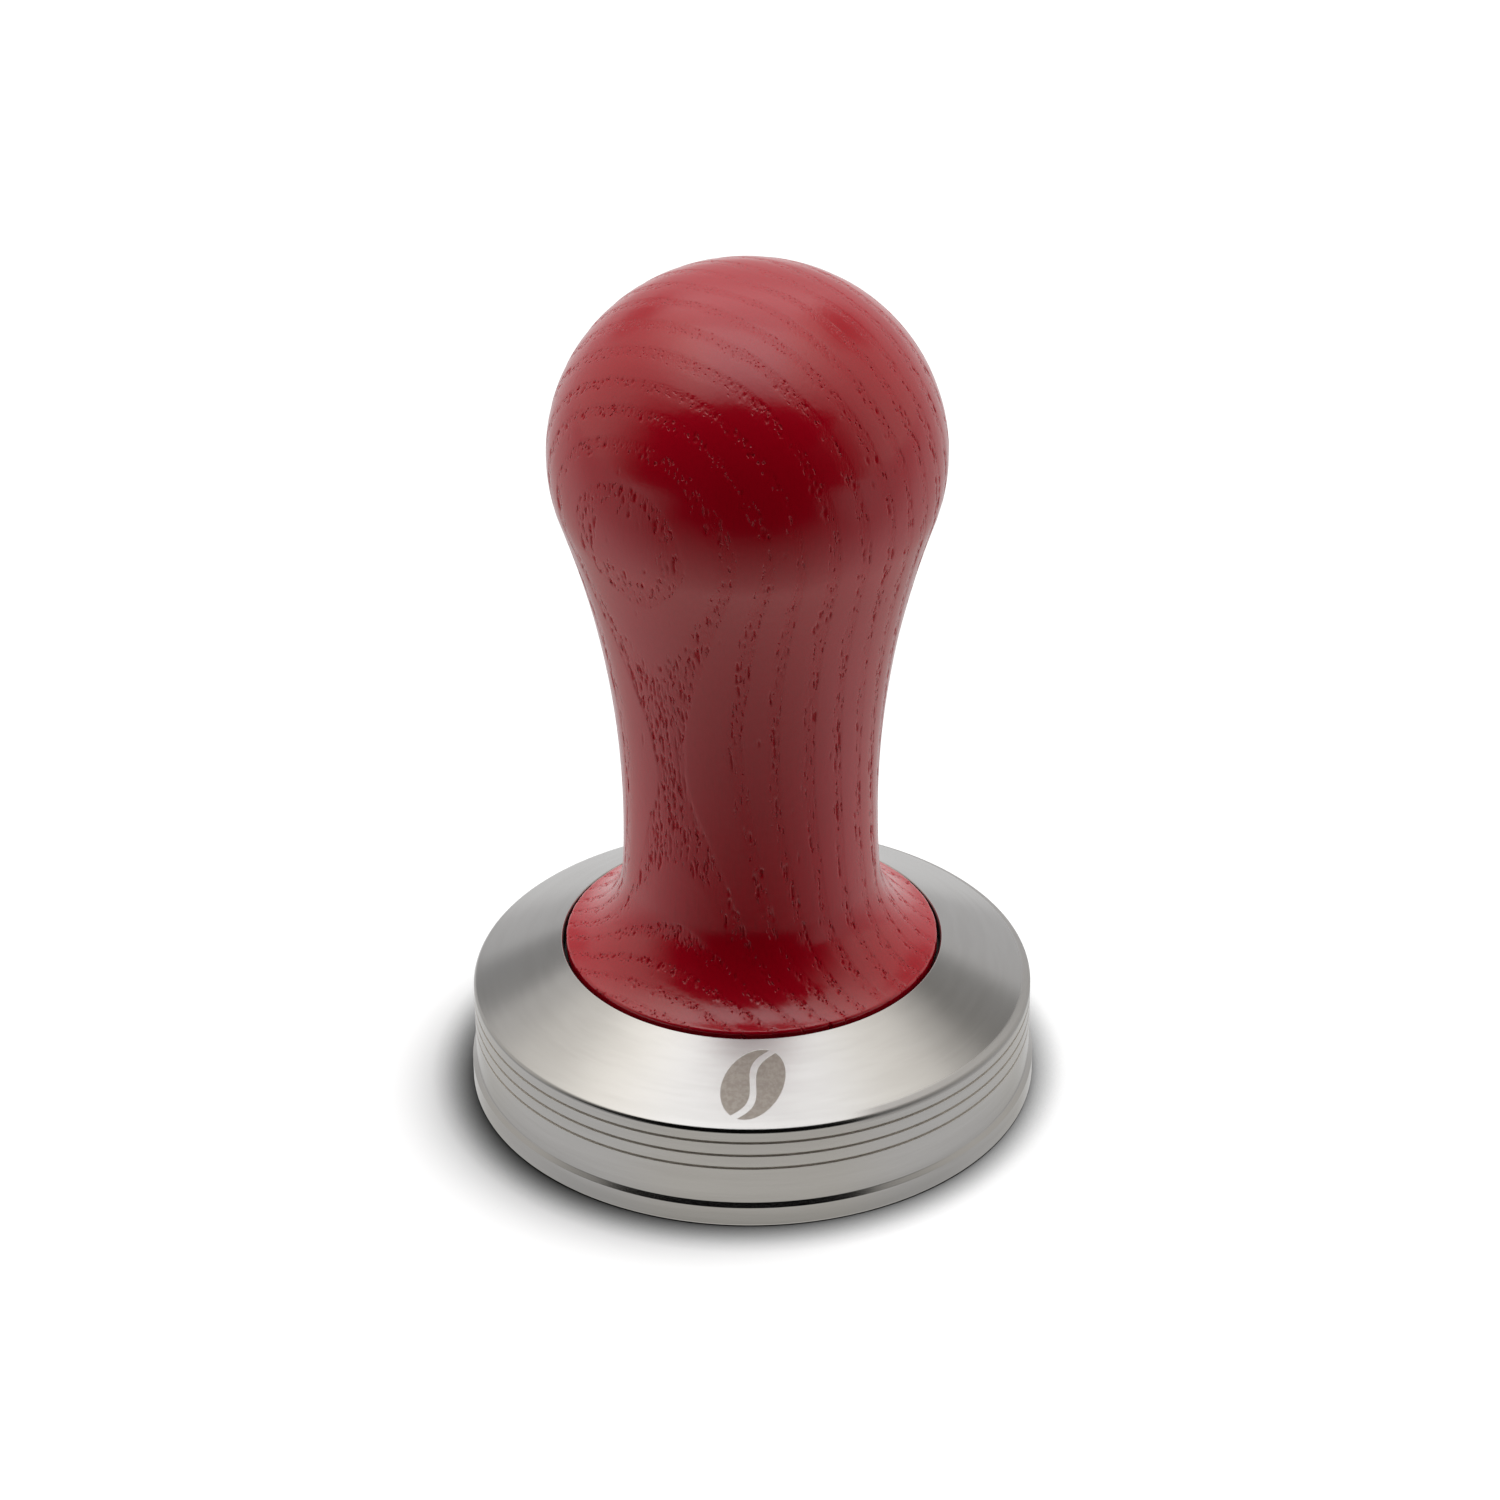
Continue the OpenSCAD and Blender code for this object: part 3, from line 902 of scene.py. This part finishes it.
def build_floor():
    """A pale seamless table top, with a painted contact shadow that darkens it close to what stands on it."""
    half = FLOOR_HALF / MM
    floor = flat_card("floor", -half, half, -half, half, 0)
    material, t = new_material("floor_white")
    rays = t.add("ShaderNodeLightPath").outputs
    # Painted contact shadow: occlusion near the foot darkens the table's colour
    contact_shadow = t.add("ShaderNodeAmbientOcclusion", {"Distance": CONTACT_REACH}, samples=8).outputs["AO"]
    pale = t.times(t.math("POWER", contact_shadow, CONTACT_POWER), FLOOR_SEEN)
    grey = t.add("ShaderNodeCombineColor", {0: pale, 1: pale, 2: pale}).outputs[0]
    seen = t.add("ShaderNodeBsdfDiffuse", {"Color": grey}).outputs[0]
    both = t.add("ShaderNodeMixShader", {0: rays["Is Camera Ray"], 1: floor_glow(t, rays), 2: seen})
    t.add("ShaderNodeOutputMaterial", {"Surface": both.outputs[0]})
    floor.data.materials.append(material)
    return floor


def build_flag():
    """A dark card above and in front, out of shot, that keeps the overhead light off the front."""
    flag = flat_card("flag", left=-185.0, right=145.0, front=-420.0, back=-72.0, z=178.0)
    material, t = new_material("flag_black")
    finish_material(t, Base_Color=(0.0, 0.0, 0.0, 1), Roughness=1.0, Specular_IOR_Level=0.0)
    flag.data.materials.append(material)
    flag.visible_camera = False


def build_floor_light(floor):
    """A broad light that falls on the table alone, for the soft shadow at the foot of the tamper."""
    sun = bpy.data.lights.new("table_light", "SUN")
    sun.angle = TABLE_LIGHT_SPREAD
    sun.energy = FLOOR_LIGHT * math.pi / TABLE_LIGHT_FROM.z
    lamp = bpy.data.objects.new("table_light", sun)
    bpy.context.scene.collection.objects.link(lamp)
    lamp.rotation_mode = "QUATERNION"
    lamp.rotation_quaternion = TABLE_LIGHT_FROM.to_track_quat("Z", "Y")
    lit = bpy.data.collections.new("lit_by_table_light")
    lit.objects.link(floor)
    lamp.light_linking.receiver_collection = lit
    blockers = bpy.data.collections.new("shades_the_table")
    blockers.objects.link(bpy.data.objects["base_turning"])
    lamp.light_linking.blocker_collection = blockers


# Darker places between the panels: direction, outer and inner half-angle in degrees, and how much darker
GAPS = (
    ((0.54, 0.63, 0.56), 15.0, 4.0, 0.5),
    ((-0.49, 0.79, 0.38), 13.0, 4.0, 0.45),
    ((0.50, 0.48, 0.72), 15.0, 4.0, 0.27),
    ((-0.50, 0.48, 0.72), 15.0, 4.0, 0.14),
)
WALLS = 0.59
FRONT_PANEL = 1.03
REAR_PANEL = 0.60
WARM = (1.0, 0.97, 0.91, 1)
BACKDROP = 1.2


def studio_glow(t, towards):
    """Brightness by direction: pale walls, a soft box overhead in two panels, and a dark front.
    x and y are the parts of a direction, so the light is drawn as it would look in a mirror ball."""
    x, y, _ = t.add("ShaderNodeSeparateXYZ", {"Vector": towards}).outputs

    def skewed(a, b, factor):
        return t.plus(a, t.times(b, factor))

    walls = t.ramp(skewed(y, x, 0.07), -0.58, 0.10, 0.0, WALLS)
    leftward = t.math("MAXIMUM", t.minus(-0.05, x), 0.0)
    rear = t.ramp(skewed(y, leftward, -0.3), 0.28, 0.33)
    panel = t.times(t.ramp(x, -0.80, -0.30), t.ramp(x, 0.05, 0.86, FRONT_PANEL, 0.0))
    panel = t.times(panel, t.ramp(skewed(y, x, 0.08), -0.76, -0.16), t.minus(1.0, rear))
    deep = t.minus(y, 0.45)
    left_edge = t.ramp(skewed(x, deep, -0.85), -0.76, -0.48)
    right_edge = t.ramp(skewed(x, deep, 0.35), 0.42, 0.60, 1.0, 0.0)
    behind = t.times(left_edge, right_edge, t.ramp(y, 0.68, 0.95, REAR_PANEL, 0.0))
    total = t.plus(walls, panel, t.times(behind, rear))
    for direction, outer, inner, dim in GAPS:
        pair = {0: towards, 1: tuple(Vector(direction).normalized())}
        near = t.add("ShaderNodeVectorMath", pair, operation="DOT_PRODUCT").outputs["Value"]
        edge, core = math.cos(math.radians(outer)), math.cos(math.radians(inner))
        total = t.times(total, t.ramp(near, edge, core, 1.0, 1 - dim))
    warmth = t.times(t.ramp(t.size(x), 0.2, 0.45), t.ramp(y, 0.4, 0.9, 1.0, 0.0))
    return total, t.mix(warmth, WHITE, WARM)


def build_light():
    """The studio lights what is in it, and the camera sees a plain white backdrop behind the table."""
    world = bpy.data.worlds.new("studio")
    world.use_nodes = True
    bpy.context.scene.world = world
    t = Tree(world.node_tree)
    total, tint = studio_glow(t, t.add("ShaderNodeTexCoord").outputs["Generated"])
    rays = t.add("ShaderNodeLightPath").outputs
    seen = rays["Is Camera Ray"]
    total = t.times(total, t.minus(1.0, t.times(rays["Is Diffuse Ray"], 0.05)))
    strength = t.plus(t.times(seen, BACKDROP), t.times(t.minus(1.0, seen), total))
    background = t.add("ShaderNodeBackground", {"Color": t.mix(seen, tint, WHITE), "Strength": strength})
    t.add("ShaderNodeOutputWorld", {"Surface": background.outputs[0]})


CAMERA_AWAY = 443.7
CAMERA_ELEVATION = math.radians(30.08)
CAMERA_ROLL = math.radians(-0.506)
CAMERA_AIM_Z = 0.4207 * TOTAL_H
CAMERA_LENS = 106.58
CAMERA_SENSOR = 36.0


def build_camera():
    """A long lens looking down at the front of the tamper."""
    camera = bpy.data.objects.new("camera", bpy.data.cameras.new("camera"))
    bpy.context.scene.collection.objects.link(camera)
    camera.data.sensor_width = CAMERA_SENSOR
    camera.data.lens = CAMERA_LENS
    camera.data.clip_start = 0.01
    camera.data.clip_end = 20.0
    back = Vector((0, -math.cos(CAMERA_ELEVATION), math.sin(CAMERA_ELEVATION)))
    turned = back.to_track_quat("Z", "Y").to_matrix() @ Matrix.Rotation(CAMERA_ROLL, 3, "Z")
    where = Vector((0, 0, CAMERA_AIM_Z * MM)) + back * CAMERA_AWAY * MM
    camera.matrix_world = Matrix.Translation(where) @ turned.to_4x4()
    bpy.context.scene.camera = camera


build_floor_light(build_floor())
build_flag()
build_light()
build_camera()
bpy.context.scene.view_settings.view_transform = "Standard"
bpy.context.scene.view_settings.look = "None"
